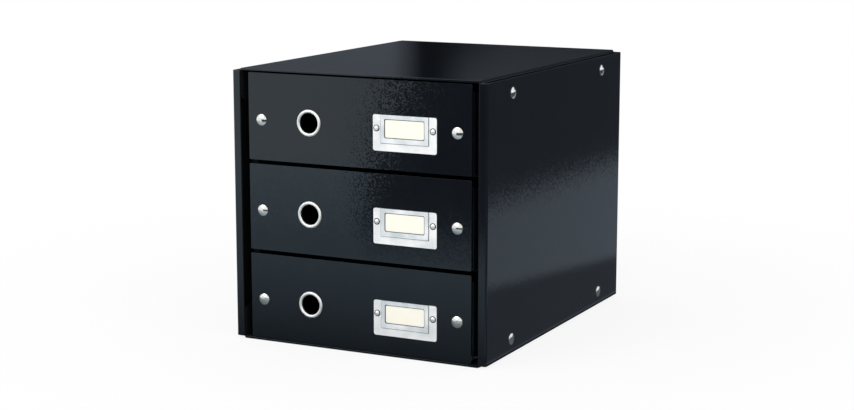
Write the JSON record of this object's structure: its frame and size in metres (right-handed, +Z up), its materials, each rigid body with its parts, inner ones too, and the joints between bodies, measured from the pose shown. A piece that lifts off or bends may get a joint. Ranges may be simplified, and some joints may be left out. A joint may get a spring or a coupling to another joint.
{
  "type": "desktop drawer unit",
  "caption": "Desktop cabinet of black laminated board with sliding drawers, finger rings, metal label holders and press-stud joints.",
  "frame": {"origin": "middle of the underside of the bottom panel", "axes": "+X to the right seen from the front, +Y from the drawer fronts to the back, +Z up"},
  "size_m": [0.2898, 0.358, 0.282],
  "materials": {
    "laminated_board": "gloss black film over solid board, finely embossed",
    "polished_nickel": "polished nickel plate on steel",
    "satin_steel": "satin nickel plate on pressed sheet steel",
    "label_card": "uncoated cream card"
  },
  "bodies": {
    "cabinet": {"left_side_panel": "laminated_board", "right_side_panel": "laminated_board", "back_panel": "laminated_board", "top_panel": "laminated_board", "bottom_panel": "laminated_board", "left_guide_wall": "laminated_board", "right_guide_wall": "laminated_board", "lower_shelf": "laminated_board", "upper_shelf": "laminated_board", "left_stud_caps": "polished_nickel", "left_stud_sockets": "polished_nickel", "left_stud_posts": "polished_nickel", "right_stud_caps": "polished_nickel", "right_stud_sockets": "polished_nickel", "right_stud_posts": "polished_nickel"},
    "bottom_drawer": {"bottom_drawer_front": "laminated_board", "bottom_drawer_tray": "laminated_board", "bottom_stud_caps": "polished_nickel", "bottom_stud_sockets": "polished_nickel", "bottom_stud_posts": "polished_nickel", "bottom_finger_ring": "polished_nickel", "bottom_ring_washer": "polished_nickel", "bottom_label_holder": "satin_steel", "bottom_label_rivets": "polished_nickel"},
    "bottom_card": {"bottom_label_card": "label_card"},
    "middle_drawer": {"middle_drawer_front": "laminated_board", "middle_drawer_tray": "laminated_board", "middle_stud_caps": "polished_nickel", "middle_stud_sockets": "polished_nickel", "middle_stud_posts": "polished_nickel", "middle_finger_ring": "polished_nickel", "middle_ring_washer": "polished_nickel", "middle_label_holder": "satin_steel", "middle_label_rivets": "polished_nickel"},
    "middle_card": {"middle_label_card": "label_card"},
    "top_drawer": {"top_drawer_front": "laminated_board", "top_drawer_tray": "laminated_board", "top_stud_caps": "polished_nickel", "top_stud_sockets": "polished_nickel", "top_stud_posts": "polished_nickel", "top_finger_ring": "polished_nickel", "top_ring_washer": "polished_nickel", "top_label_holder": "satin_steel", "top_label_rivets": "polished_nickel"},
    "top_card": {"top_label_card": "label_card"}
  },
  "joints": [
    {"name": "bottom_drawer_slide", "type": "slide", "parent": "cabinet", "child": "bottom_drawer", "axis": [0, -1, 0], "range_m": [0, 0.3]},
    {"name": "bottom_card_slide", "type": "slide", "parent": "bottom_drawer", "child": "bottom_card", "axis": [0, 0, 1], "range_m": [0, 0.028]},
    {"name": "middle_drawer_slide", "type": "slide", "parent": "cabinet", "child": "middle_drawer", "axis": [0, -1, 0], "range_m": [0, 0.3]},
    {"name": "middle_card_slide", "type": "slide", "parent": "middle_drawer", "child": "middle_card", "axis": [0, 0, 1], "range_m": [0, 0.028]},
    {"name": "top_drawer_slide", "type": "slide", "parent": "cabinet", "child": "top_drawer", "axis": [0, -1, 0], "range_m": [0, 0.3]},
    {"name": "top_card_slide", "type": "slide", "parent": "top_drawer", "child": "top_card", "axis": [0, 0, 1], "range_m": [0, 0.028]}
  ]
}
